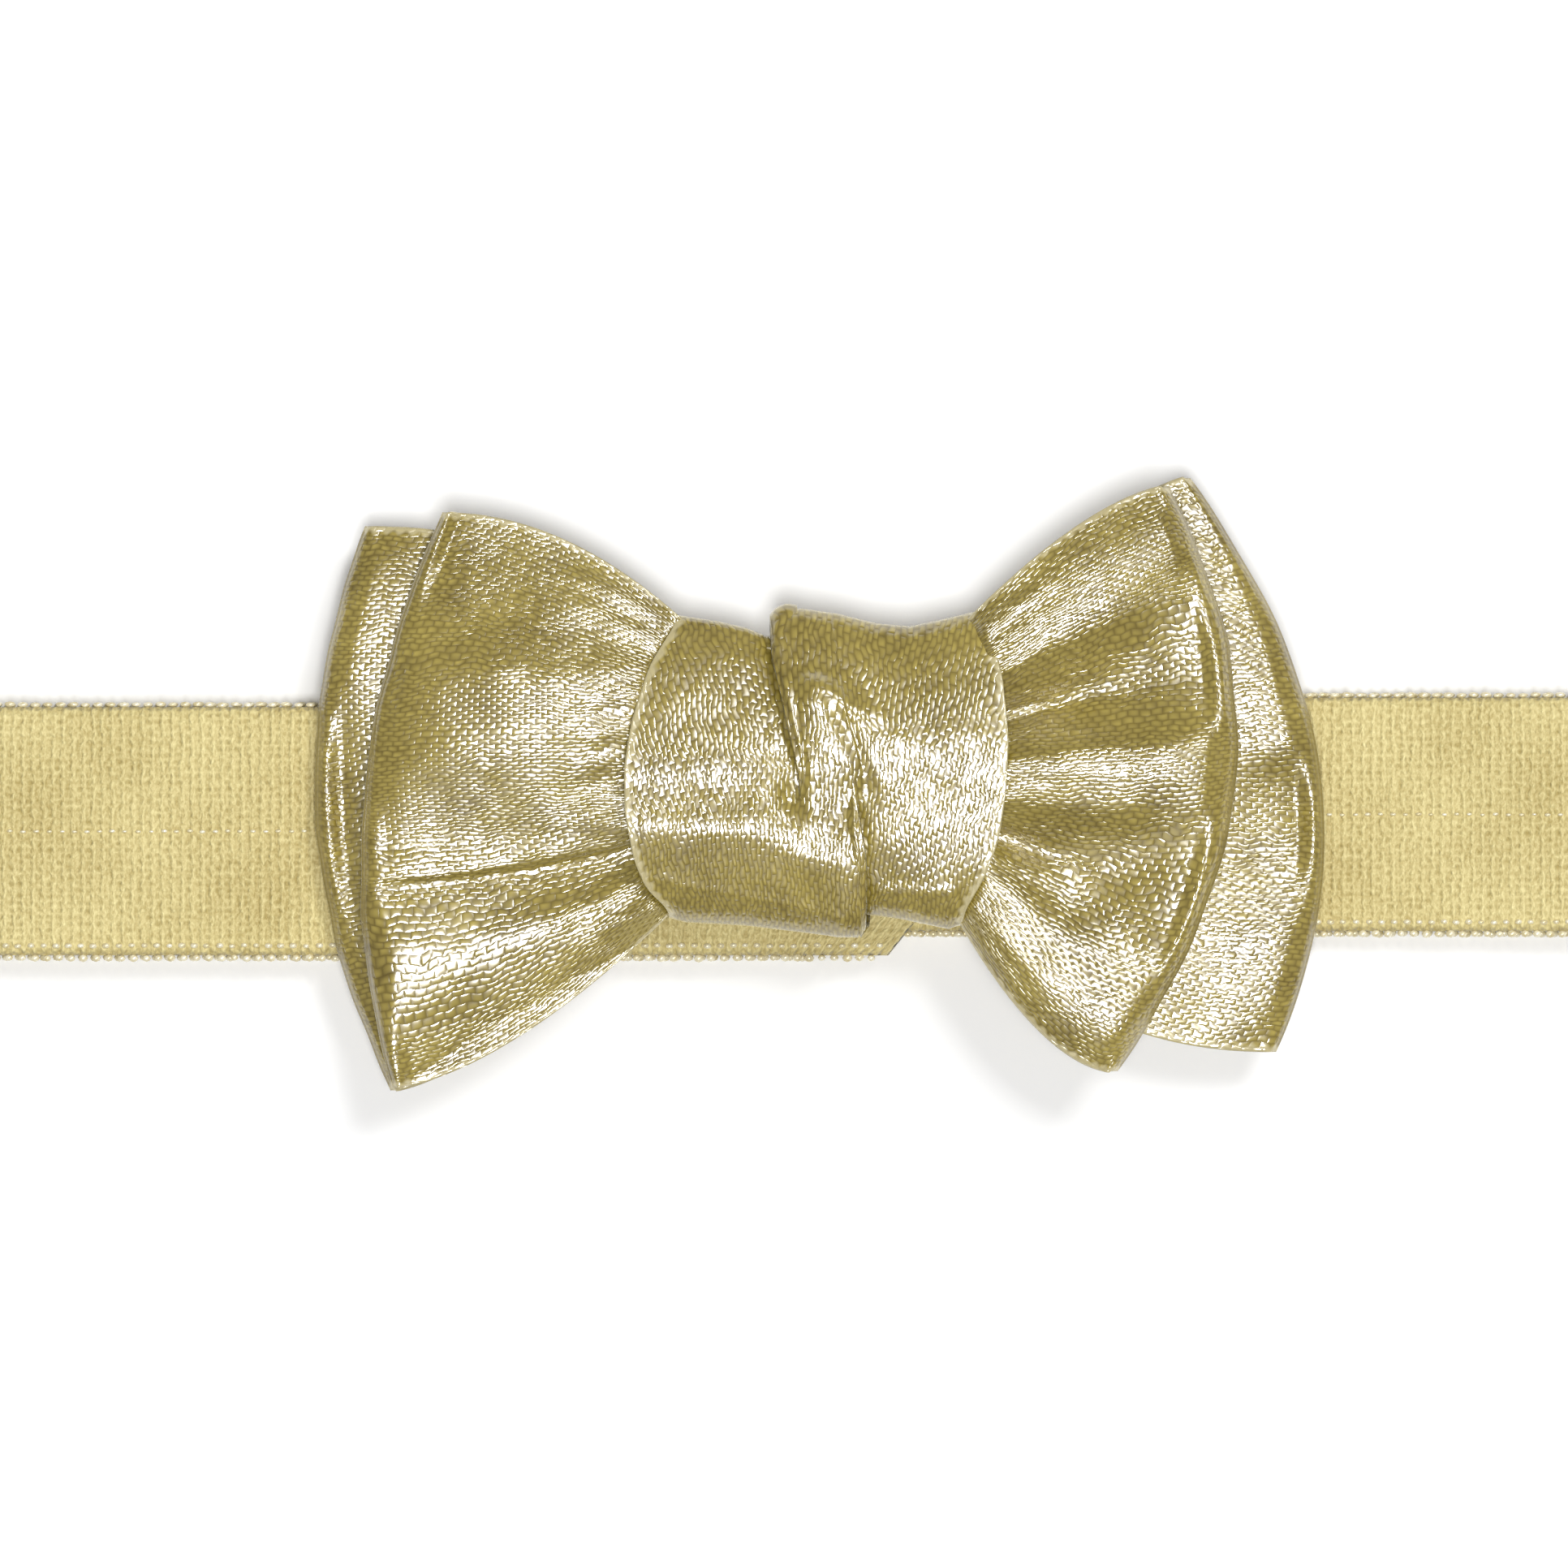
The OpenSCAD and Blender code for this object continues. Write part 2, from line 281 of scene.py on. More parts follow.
def elastic_material():
    """Fold-over elastic: fine ribs across it and a knitted grain. Its stitches are band_trim's."""
    rib_pitch, course_pitch = 0.62, 0.42        # mm
    g = Graph("elastic")
    u, v, uv = g.map_xy("weave")
    wavy_u = g.math("ADD", u, g.mapped(g.noise(uv, 0.6), 0, 1, -0.2, 0.2))
    rib = g.math("SINE", g.math("MULTIPLY", wavy_u, 2 * math.pi / rib_pitch))
    course = g.math("SINE", g.math("MULTIPLY", v, 2 * math.pi / course_pitch))
    knit = g.math("MULTIPLY", g.math("MULTIPLY", rib, 0.6), g.mapped(course, -1, 1, 0.55, 1.0))
    grain = g.noise(g.vector(g.math("MULTIPLY", u, 1.8), g.math("MULTIPLY", v, 1.1)), 2.6, 3.0)
    cloud = g.noise(uv, 0.12, 2.0)
    height = g.math("ADD", knit, g.math("MULTIPLY", grain, 1.4))
    # Partly painted shade: the ribs are darker in their grooves, by the knit pattern that also makes the
    # bump. The grain and clouds are the yarn's own tone.
    tone_and_painted_shade = g.math("ADD", g.mapped(grain, 0.3, 0.7, 0.0, 0.65), g.math("MULTIPLY", knit, 0.22))
    tone_and_painted_shade = g.math("ADD", tone_and_painted_shade, g.mapped(cloud, 0.3, 0.7, 0.0, 0.3))
    g.plug(g.shader.inputs["Base Color"], g.between(tone_and_painted_shade, (0.43, 0.325, 0.10, 1), (0.86, 0.75, 0.36, 1)))
    g.plug(g.shader.inputs["Normal"], g.bump(height, 0.12 * MM, 1.0))
    g.plug(g.shader.inputs["Roughness"], g.mapped(grain, 0.3, 0.7, 0.62, 0.45))
    g.shader.inputs["Sheen Weight"].default_value = 0.25
    g.shader.inputs["Sheen Roughness"].default_value = 0.5
    return g.material


def plain_material(name, low, high, roughness, scale, metallic=0.0):
    """A small trim material: two tones of one colour and a fine grain, by object coordinates."""
    object_output, grain_depth = 3, 0.02 * MM
    g = Graph(name)
    where = g.node("ShaderNodeTexCoord", out=object_output)
    grain = g.noise(where, scale, 3.0)
    g.plug(g.shader.inputs["Base Color"], g.between(g.mapped(grain, 0.3, 0.7), low, high))
    g.plug(g.shader.inputs["Roughness"], g.mapped(grain, 0.3, 0.7, roughness, roughness * 0.7))
    g.plug(g.shader.inputs["Normal"], g.bump(grain, grain_depth, 0.8))
    g.shader.inputs["Metallic"].default_value = metallic
    return g.material


SATIN = satin_material("bow_satin")
KNOT_SATIN = satin_material("knot_satin", 0.8, 0.30, 0.0225)
ELASTIC = elastic_material()
PICOT = plain_material("picot_yarn", (0.62, 0.52, 0.27, 1), (0.95, 0.90, 0.70, 1), 0.3, 2500, 0.2)
THREAD = plain_material("thread", (0.60, 0.50, 0.26, 1), (0.80, 0.70, 0.42, 1), 0.5, 4000)
GLUE = plain_material("hot_melt", (0.78, 0.74, 0.62, 1), (0.90, 0.88, 0.80, 1), 0.35, 900)


# ------------------------------------------------------------------ ribbon rings

def across_lines(lines, v, t):
    """Where a pleated ribbon lies: its place in plan, from -1 to 1, and its lift in mm.

    v goes across the ribbon and t along it, from the knot to the fold. Each line is a ridge, a valley
    or an edge: (v, place at the knot, place at the fold, lift at the knot, halfway and at the fold).
    """
    table = np.array(lines, float)
    last = len(table) - 1
    at = np.clip(np.searchsorted(table[:, 0], v, "right") - 1, 0, last - 1)
    near, half, far = (1 - t) * (1 - 2 * t), 4 * t * (1 - t), t * (2 * t - 1)

    def value(k):
        line = table[np.clip(k, 0, last)]
        lift = line[..., 3] * near + line[..., 4] * half + line[..., 5] * far
        return line[..., 0], np.stack([mix(line[..., 1], line[..., 2], t), lift])

    (v0, f0), (v1, f1), (v2, f2), (v3, f3) = (value(at + k) for k in (-1, 0, 1, 2))
    step = v2 - v1
    u = (v - v1) / step
    slope_1 = (f2 - f0) / np.maximum(v2 - v0, 1e-6) * step
    slope_2 = (f3 - f1) / np.maximum(v3 - v1, 1e-6) * step
    return (f1 * (2 * u**3 - 3 * u**2 + 1) + slope_1 * (u**3 - 2 * u**2 + u)
            + f2 * (3 * u**2 - 2 * u**3) + slope_2 * (u**3 - u**2))


class Loop:
    """One side of a ribbon ring, in plan: how far it reaches, how its fold lies and how its edges flare.

    Its reach, top and bottom are its CAD node's. The fold leans by an angle and bulges out in the middle.
    """

    def __init__(self, node, side, lean, bulge, waist, flare):
        low, high = box_mm(node)
        self.side = side
        self.reach = abs((high[0] if side > 0 else low[0]) - BOW_X)
        self.top, self.bottom = high[1] - BOW_Y, low[1] - BOW_Y
        self.lean = math.tan(math.radians(lean))
        self.bulge = bulge
        self.waist = waist            # half-heights at the waist, above and below the bow's middle
        self.flare = flare            # how fast the top and bottom edges flare

    def knot_side(self, y):
        """How far out the knot's side lies at height y from the bow's middle."""
        knot_top = 9.8
        h = np.minimum(np.abs(y) / knot_top, 1)
        if self.side < 0:
            return 11.8 - np.where(y > 0, 3.3 * h**2.2, 2.9 * h**3)
        return 12.0 - np.where(y > 0, 1.9 * h**2.5, 3.0 * h**2)

    def plan(self, s, e):
        """Place from the bow's middle: s from 0 at the middle to 1 at the fold, e from -1 to 1 across."""
        flare_x, pinch = 7.5, 7.9       # where the edges start to flare, and their half-height before
        mid, half = (self.top + self.bottom) / 2, (self.top - self.bottom) / 2
        corner_line = self.reach - self.bulge - self.side * self.lean * e * half
        x_end = corner_line + self.bulge * (1 - e * e)
        x = s * x_end
        t = np.clip((x - flare_x) / (x_end - flare_x), 0, 1)
        up = e > 0
        start = np.minimum(np.where(up, self.waist[0], self.waist[1]), pinch + np.clip(x - 5, 0, 3))
        end = np.where(up, half + mid, half - mid)
        grown = 1 - (1 - t) ** np.where(up, self.flare[0], self.flare[1])
        return self.side * x, e * mix(start, end, grown) + mid * (1 - np.abs(e)) * t * t


def fold_radius(fold_r, place):
    """The fold is roundest at its middle and is pressed flatter towards its ends."""
    return fold_r * (1 - 0.42 * np.abs(place) ** 2.5)


def ring_side(name, loop, z, fold_r, shoulder, lines, seed, nodes):
    """The ribbon of one loop.

    z gives the heights of its walls at the waist and of its fold, and how high its puckers stand.
    shoulder is (angle, mm): how steeply the upper wall comes down to the fold, and over what distance.
    """
    wall_rows, fold_rows, cols = 120, 26, 221
    turn = math.radians(shoulder[0])
    v = np.linspace(-1, 1, cols)[None, :]
    tip_x = np.abs(loop.plan(np.ones_like(v), v)[0])
    lines_x = 9     # where the pleats' lines start, out from the bow's middle

    def wall(s, upper):
        vv = np.broadcast_to(v, s.shape)
        t = np.clip((s * tip_x - lines_x) / (tip_x - lines_x), 0, 1)
        place, lift = across_lines(lines, vv, t)
        r = fold_radius(fold_r, place)
        x, y = loop.plan(s, place)
        out = np.abs(x)
        start = r * (1 - math.sin(turn)) if upper else r
        fold_x = np.abs(loop.plan(np.ones_like(s), place)[0]) - start
        run = np.clip((out - PARTING_X) / (fold_x - PARTING_X), 0, 1)
        # The gathers fade out before the ribbon leaves the knot.
        gather = GATHER_H * np.cos(2 * math.pi * y / GATHER_PITCH) * (1 - smooth((out - 6.5) / 2.5))
        # Inside the knot the layers are pressed together towards its top and bottom edges, and
        # they come free over the last of its width.
        squeeze_h, free_over = 8.8, 1.6
        inside = 1 - (1 - np.minimum(np.abs(y) / squeeze_h, 0.97) ** 1.8) ** 0.4
        inside = inside * (1 - smooth((out - loop.knot_side(y) + free_over) / free_over))
        if not upper:
            height = mix(z["lower"], z["fold"] + fold_r - r, smooth(run)) + gather
            return x, y, mix(height, KNOT_MID_Z, inside)
        height = mix(z["upper"], z["fold"] + fold_r + r * math.cos(turn), smooth(run))
        inward = np.maximum((1 - run) * (loop.reach - PARTING_X), 0)
        rise = math.tan(turn) * shoulder[1] * (1 - np.exp(-inward / shoulder[1]))
        height = height + rise * smooth((out - 6) / 3.5)
        # The pleats and waves settle in the last 1.3 mm before the fold.
        settle = smooth(inward / 1.3)
        height = height + gather + lift * settle * smooth((out - 5) / 5)
        height = height + 0.05 * waves(out, y, seed + 1, 7) * smooth(run * 4) * settle
        # Small puckers stand where it comes out of the knot.
        pucker = np.exp(-((out - 12) / 3) ** 2) * z["pucker"]
        height = height + pucker * np.sin(vv * 38 + 1.5 * waves(out, y, seed, 8))
        return x, y, mix(height, KNOT_MID_Z, inside)

    # The walls run to where the fold's round begins.
    place, _ = across_lines(lines, v, 1.0)
    r = fold_radius(fold_r, place)
    tip = np.abs(loop.plan(np.ones_like(v), place)[0])
    end = 1 - r / tip
    steps = np.linspace(0, 1, wall_rows)[:, None]
    steps = 0.55 * steps + 0.45 * np.sin(steps * math.pi / 2)
    upper = wall(steps * (1 - r * (1 - math.sin(turn)) / tip), True)
    lower = wall(steps[::-1] * end, False)

    # The fold is a round with a pressed crease that stands a little proud.
    phi = np.linspace(90 - shoulder[0], -90, fold_rows + 2)[1:-1, None]
    proud = 0.13 * np.exp(-(phi / 8.0) ** 2)
    rad = np.radians(phi)
    x_mid, y_fold = (np.broadcast_to(c, phi.shape[:1] + v.shape[1:]) for c in loop.plan(end, place))
    wave = 0.08 * waves(y_fold, 0 * y_fold, seed + 5, 6)        # it isn't quite straight
    x_fold = x_mid + loop.side * (r + proud + wave) * np.cos(rad)
    z_fold = z["fold"] + fold_r + (r + proud) * np.sin(rad)
    points = np.stack([
        np.concatenate([upper[0], x_fold, lower[0]]) + BOW_X,
        np.concatenate([upper[1], y_fold, lower[1]]) + BOW_Y,
        np.concatenate([upper[2], z_fold, lower[2]]),
    ], -1)

    # The weave follows the ribbon: its length along the middle, its width across.
    mid = points[:, cols // 2]
    length = np.concatenate([[0], np.cumsum(np.linalg.norm(np.diff(mid, axis=0), axis=1))])
    uv = np.stack(np.broadcast_arrays(length[:, None], v * RIBBON_W / 2), -1)
    crease_at = length[wall_rows + fold_rows // 2]
    place_map = np.stack(np.broadcast_arrays(
        np.abs(length[:, None] - crease_at), (1 - np.abs(v)) * RIBBON_W / 2), -1)
    piece = grid_piece(name, points, uv, place_map, SATIN, RIBBON_T, flip=loop.side > 0)
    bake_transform(piece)
    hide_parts(*nodes)


# The pleats of each side, from its lower selvedge to its upper one, as across_lines takes them.
FRONT_LEFT_LINES = (
    (-1.00, -1.00, -1.00, -0.9, -2.1, -0.9), (-0.81, -0.84, -0.84, 0.0, -1.1, -0.1),
    (-0.64, -0.66, -0.58, -0.8, -0.45, 0.25), (-0.52, -0.52, -0.38, -1.3, -0.9, 0.1),
    (-0.45, -0.43, -0.30, -1.3, -1.1, -0.1), (-0.40, -0.40, -0.27, -0.3, -0.55, 0.0),
    (-0.28, -0.28, -0.15, 0.3, -0.4, -0.2), (-0.06, -0.08, 0.00, -0.2, 0.3, -0.2),
    (0.08, 0.08, 0.10, -0.1, 0.75, -0.1), (0.20, 0.22, 0.22, 0.2, 1.0, -0.1),
    (0.42, 0.46, 0.42, 0.4, 1.15, 0.0), (0.52, 0.56, 0.54, 0.0, 0.7, -0.1),
    (0.66, 0.70, 0.68, -0.5, 0.0, -0.3), (1.00, 1.00, 1.00, -1.3, -1.4, -0.9),
)
FRONT_RIGHT_LINES = (
    (-1.00, -1.00, -1.00, -0.9, -0.7, -0.7), (-0.84, -0.86, -0.88, 0.05, 0.3, 0.1),
    (-0.64, -0.64, -0.70, 0.3, 0.1, -0.1), (-0.48, -0.46, -0.52, 0.35, -1.1, -0.2),
    (-0.38, -0.35, -0.37, -1.3, -1.6, -0.3), (-0.28, -0.28, -0.22, -0.2, -1.1, -0.2),
    (-0.14, -0.16, -0.06, 0.3, 0.2, 0.1), (0.08, 0.08, 0.12, 0.4, 0.6, 0.2),
    (0.20, 0.22, 0.24, 0.0, -0.9, -0.2), (0.30, 0.32, 0.36, -1.4, -1.7, -0.3),
    (0.42, 0.42, 0.50, -0.3, -1.0, -0.4), (0.54, 0.56, 0.66, 0.2, 0.35, -0.4),
    (0.80, 0.80, 0.84, 0.4, 0.6, 0.2), (1.00, 1.00, 1.00, -0.6, 0.0, -0.7),
)
BACK_LEFT_LINES = (
    (-1.00, -1.00, -1.00, 0, 0, -0.3), (-0.75, -0.75, -0.75, 0, 0, 0.1),
    (-0.45, -0.45, -0.45, 0, 0, -0.2), (-0.15, -0.15, -0.15, 0, 0, -0.9),
    (0.15, 0.15, 0.15, 0, 0, -0.8), (0.42, 0.42, 0.42, 0, 0, 0.0),
    (0.70, 0.70, 0.70, 0, 0, 0.25), (0.86, 0.86, 0.86, 0, 0, 0.1), (1.00, 1.00, 1.00, 0, 0, -0.4),
)
BACK_RIGHT_LINES = (
    (-1.00, -1.00, -1.00, 0, 0, -0.3), (-0.80, -0.80, -0.80, 0, 0, 0.15),
    (-0.58, -0.58, -0.58, 0, 0, 0.15), (-0.40, -0.40, -0.40, 0, 0, -0.4),
    (-0.22, -0.22, -0.22, 0, 0, -1.1), (-0.06, -0.06, -0.06, 0, 0, -0.7),
    (0.08, 0.08, 0.08, 0, 0, 0.15), (0.30, 0.30, 0.30, 0, 0, 0.25),
    (0.60, 0.60, 0.60, 0, 0, 0.1), (1.00, 1.00, 1.00, 0, 0, -0.4),
)


def make_rings():
    """The two rings, each as a left and a right side that meet inside the knot."""
    front = {"upper": 8.0, "lower": 6.9, "fold": box_mm("front_loop_left")[0][2], "pucker": 0.06}
    back = {"upper": 5.9, "lower": 4.9, "fold": box_mm("back_loop_left")[0][2], "pucker": 0.0}
    ring_side(
        "front_ribbon_left",
        Loop("front_loop_left", side=-1, lean=-5, bulge=3.3, waist=(9.0, 7.2), flare=(2.0, 1.55)),
        front, fold_r=0.8, shoulder=(30, 1.0), lines=FRONT_LEFT_LINES, seed=11,
        nodes=("front_loop_left", "front_waist"))
    ring_side(
        "front_ribbon_right",
        Loop("front_loop_right", side=1, lean=-5, bulge=5.8, waist=(7.6, 6.5), flare=(1.5, 1.8)),
        front, fold_r=1.4, shoulder=(34, 0.8), lines=FRONT_RIGHT_LINES, seed=23,
        nodes=("front_loop_right",))
    ring_side(
        "back_ribbon_left",
        Loop("back_loop_left", side=-1, lean=2.6, bulge=3.9, waist=(8.0, 7.0), flare=(2.2, 1.4)),
        back, fold_r=0.95, shoulder=(32, 0.9), lines=BACK_LEFT_LINES, seed=37,
        nodes=("back_loop_left", "back_waist"))
    ring_side(
        "back_ribbon_right",
        Loop("back_loop_right", side=1, lean=8.6, bulge=5.4, waist=(8.0, 8.0), flare=(1.3, 2.2)),
        back, fold_r=0.95, shoulder=(32, 0.8), lines=BACK_RIGHT_LINES, seed=41,
        nodes=("back_loop_right",))


# ------------------------------------------------------------------ knot

def through(h, places):
    """A smooth curve x(h) near (x, y) places from the bow's middle, h being y over the knot's half."""
    xs, ys = np.array(places, float).T
    fine = np.linspace(-1.05, 1.05, 211)
    line = np.interp(fine * KNOT_HALF_H, ys[::-1], xs[::-1])
    kernel = np.hanning(27) / np.hanning(27).sum()
    line = np.convolve(np.pad(line, 13, "edge"), kernel, "valid")
    return np.interp(h, fine, line)


def ridge(x, y, places, width, lift):
    """A rounded ridge along a line of places, or a furrow if lift is negative."""
    nearest = np.full(np.broadcast(x, y).shape, 1e9)
    for (ax, ay), (bx, by) in zip(places, places[1:]):
        dx, dy = bx - ax, by - ay
        t = np.clip(((x - ax) * dx + (y - ay) * dy) / (dx * dx + dy * dy), 0, 1)
        nearest = np.minimum(nearest, np.hypot(x - ax - t * dx, y - ay - t * dy))
    return lift * np.exp(-(nearest / width) ** 2)


def bulge(x, y, at, size, lift):
    """A rounded bump at a place, or a hollow if lift is negative."""
    return lift * np.exp(-((x - at[0]) / size[0]) ** 2 - ((y - at[1]) / size[1]) ** 2)


# Lines on the knot's face, from the bow's middle in mm.
S_ROLL = ((-0.2, 5.8), (0.0, 4.6), (0.6, 2.8), (1.4, 1.2), (2.0, -0.4), (2.15, -2.3), (1.5, -4.2),
          (0.25, -4.9), (-1.0, -4.4), (-2.0, -3.3))
S_BRANCH = ((0.3, 5.6), (2.6, 3.5), (5.1, 0.7), (8.1, -1.2))
FURROW = ((1.3, 4.0), (2.1, 2.2), (2.7, 0.6), (2.95, -0.9))
HEM_LEFT = ((-9.5, -7.3), (-5.0, -8.0), (1.5, -8.9))
HEM_RIGHT = ((4.0, -8.2), (8.5, -7.6))


def make_knot():
    """The knotted strip: two turns side by side, joined by an S-shaped fold between them."""
    ring_rows, turn_cols, lap_cols, bridge_cols = 320, 100, 9, 46
    z_low, z_high = KNOT_LOW[2], KNOT_HIGH[2] + 0.3
    half_z, mid_z = (z_high - z_low) / 2, (z_high + z_low) / 2
    phi = np.radians(np.linspace(-88, 268, ring_rows))[:, None]     # 90 on the face, 0 at the top edge
    c, s = np.cos(phi), np.sin(phi)
    radius = (np.abs(c) ** 3 + np.abs(s) ** 3) ** (-1 / 3)          # a box with round corners
    h, round_z = c * radius, s * radius
    face = smooth((s + 0.1) / 0.6)

    # The knot's two sides, and the edges of its two laps: a shows above the middle, b below it.
    left = through(h, ((-8.5, 9.9), (-10.2, 7.0), (-11.3, 3.5), (-11.8, 0.5), (-11.75, -2.7), (-11.2, -5.9),
                       (-10.4, -8.1), (-9.0, -9.5)))
    right = through(h, ((10.0, 10.0), (10.9, 8.6), (11.6, 6.2), (12.0, 2.2), (11.85, -1.1), (11.4, -4.3),
                        (10.6, -6.7), (9.2, -9.3)))
    edge_a = through(h, ((-2.8, 9.8), (-2.65, 7.3), (-2.15, 5.0), (-1.7, 2.8), (-1.2, 0.9), (-0.95, -0.5),
                         (-1.1, -3.0), (-1.6, -9.8)))
    edge_b = through(h, ((0.6, 9.8), (1.4, 4.2), (2.3, 1.0), (2.65, -1.9), (3.1, -4.5), (3.25, -6.0),
                         (3.2, -10.0)))
    open_a = smooth((h * KNOT_HALF_H + 2.6) / 3.6)      # 1 where the right turn laps the left one
    open_b = smooth((-h * KNOT_HALF_H - 0.4) / 3.6)     # 1 where the left turn laps the right one

    # Columns: left turn, the Z of edge a, the bridge, the Z of edge b, right turn. Where a turn is
    # lapped, its Z runs 2 mm back under the other; elsewhere it runs on for 0.4 mm.
    turn_a, turn_b = edge_a - 0.4 + 2.4 * open_a, edge_b + 0.4 - 2.4 * open_b
    spans = [(left, turn_a, turn_cols), (turn_a, edge_a, lap_cols), (edge_a, edge_b, bridge_cols),
             (edge_b, turn_b, lap_cols), (turn_b, right, turn_cols)]
    x = np.concatenate([mix(a, b, np.linspace(0, 1, n)[None, (1 if i else 0):])
                        for i, (a, b, n) in enumerate(spans)], 1)
    last = np.cumsum([n - (1 if i else 0) for i, (_, _, n) in enumerate(spans)])
    column = np.arange(x.shape[1])[None, :]
    over_a = smooth((column - last[0] + 1) / (lap_cols - 1))        # 0 on the left turn, 1 past its Z
    over_b = 1 - smooth((column - last[2] + 1) / (lap_cols - 1))    # 1 up to edge b, 0 on the right turn
    rise = 0.42     # how far a lap's two layers stand above and below their middle
    layer = rise * open_a * (2 * over_a - 1) * np.exp(-np.maximum(edge_a - x, 0) / 2.5)
    layer = np.where(column < last[0], -rise * open_a * np.exp(-np.maximum(edge_a - x, 0) / 1.6), layer)
    layer = layer + rise * open_b * (2 * over_b - 1) * np.exp(-np.maximum(x - edge_b, 0) / 2.5)
    layer = np.where(column > last[3] - 1, rise * open_a * np.exp(-np.abs(x - edge_a) / 6)
                     - rise * open_b * np.exp(-np.maximum(x - edge_b, 0) / 1.6), layer)

    # The face is highest along a line above its middle, and falls gently below it and faster above
    # it and at the lower left. An S-shaped roll and its branch stand on it with a furrow between.
    y_face = h * KNOT_HALF_H
    crest = np.interp(x, (-2, 6), (1.0, 3.0))
    above = 0.5 * np.logaddexp(0, (y_face - crest) / 0.5)
    below = 0.6 * np.logaddexp(0, (-3.9 - y_face) / 0.6) * smooth((2.2 - x) / 2.5)
    shape = 0.6 + 0.04 * (y_face - crest) - 0.24 * above - 0.17 * below
    shape = shape + ridge(x, y_face, FURROW, 0.75, -0.4) + bulge(x, y_face, (-1.5, -1.9), (0.8, 1.3), -0.6)
    shape = shape + ridge(x, y_face, HEM_LEFT, 0.4, 0.1) + ridge(x, y_face, HEM_RIGHT, 0.4, 0.1)
    level = (10.1 + 0.05 * y_face - mid_z) / np.maximum(round_z, 0.5) - half_z
    for line, width in ((S_ROLL, 1.3), (S_BRANCH, 1.0)):
        shape = mix(shape, level, ridge(x, y_face, line, width, 1.0) * smooth((6.6 - y_face) / 2.6))
    lift = (layer + shape) * face + 0.03 * waves(x, y_face + 0 * x, 77, 5) * face

    # The turns end at different heights where they lap.
    y_top = np.where(column <= last[0], np.interp(x, (-8.5, -5.9, -4.2, -3.0, 3), (9.9, 9.5, 9.1, 8.6, 8.2)),
                     np.interp(x, (-2.8, -2.4, -1.9, -0.7, 1.4, 3.8, 5.9, 7.8, 9.9),
                               (9.3, 10.0, 10.3, 10.3, 10.0, 9.4, 9.2, 9.6, 10.1)))
    y_bottom = np.where(column <= last[2], np.interp(x, (-9.1, -8, -4.2, -1, 1.4, 2.7, 3.2),
                                                     (8.9, 9.2, 9.4, 9.8, 10.1, 10.1, 9.6)),
                        np.interp(x, (0, 3.2, 5.4, 8.3, 9.2), (8.4, 8.7, 9.0, 9.6, 9.3)))
    reach = np.where(c > 0, y_top, y_bottom) + lift * 0.2
    points = np.stack([x + BOW_X, h * reach + BOW_Y, mid_z + round_z * (half_z + lift)], -1)

    mid_turn = 40       # a column near the left turn's middle
    around = np.concatenate([[0], np.cumsum(np.linalg.norm(np.diff(points[:, mid_turn], axis=0), axis=1))])
    gap = np.linalg.norm(np.diff(points, axis=1), axis=2)
    across = np.concatenate([np.zeros((ring_rows, 1)), np.cumsum(gap, 1)], 1)
    # Its weave leans one way on the left turn and the other way on the right one.
    lean = np.radians(-1.2 * x)
    along = (around - around[ring_rows // 2])[:, None]
    uv = np.stack([along * np.cos(lean) + x * np.sin(lean), x * np.cos(lean) - along * np.sin(lean)], -1)
    to_edge = np.minimum(across, across[:, -1:] - across)
    place_map = np.stack([np.full_like(to_edge, NO_FOLD), to_edge], -1)
    knot = grid_piece("knot_strip", points, uv, place_map, KNOT_SATIN, KNOT_STRIP_T, flip=True)
    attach(knot, "root")
    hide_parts("knot_wrap_left", "knot_wrap_right", "knot_crossover")


# ------------------------------------------------------------------ elastic

def band_path(side):
    """The elastic's middle line in XZ from its glued end, over the fold, to the middle underneath, mm."""
    run = box_mm("band_front_left" if side < 0 else "band_front_right")
    fold = box_mm("band_fold_left" if side < 0 else "band_fold_right")
    half_t = BAND_T / 2
    r = (fold[1][2] - fold[0][2] - BAND_T) / 2
    x_fold = (fold[0][0] if side < 0 else fold[1][0]) - side * (r + half_t)
    z_knot = run[0][2] + half_t
    x_end = run[1][0] if side < 0 else run[0][0]
    x_knot = BOW_X + side * KNOT_HALF_W
    top = fold[1][2] - half_t
    xs = np.concatenate([np.linspace(x_end, x_knot, 30)[:-1], np.linspace(x_knot, x_fold, 130)])
    zs = np.where((xs - x_knot) * side < 0, z_knot,
                  mix(z_knot, top, smooth((xs - x_knot) / (x_fold - x_knot))))
    phi = np.radians(np.linspace(90, -90, 15))[1:-1]
    back = np.linspace(x_fold, BOW_X, 150)
    x = np.concatenate([xs, x_fold + side * r * np.cos(phi), back])
    z = np.concatenate([zs, half_t + r + r * np.sin(phi), np.full(len(back), half_t)])
    return x, z


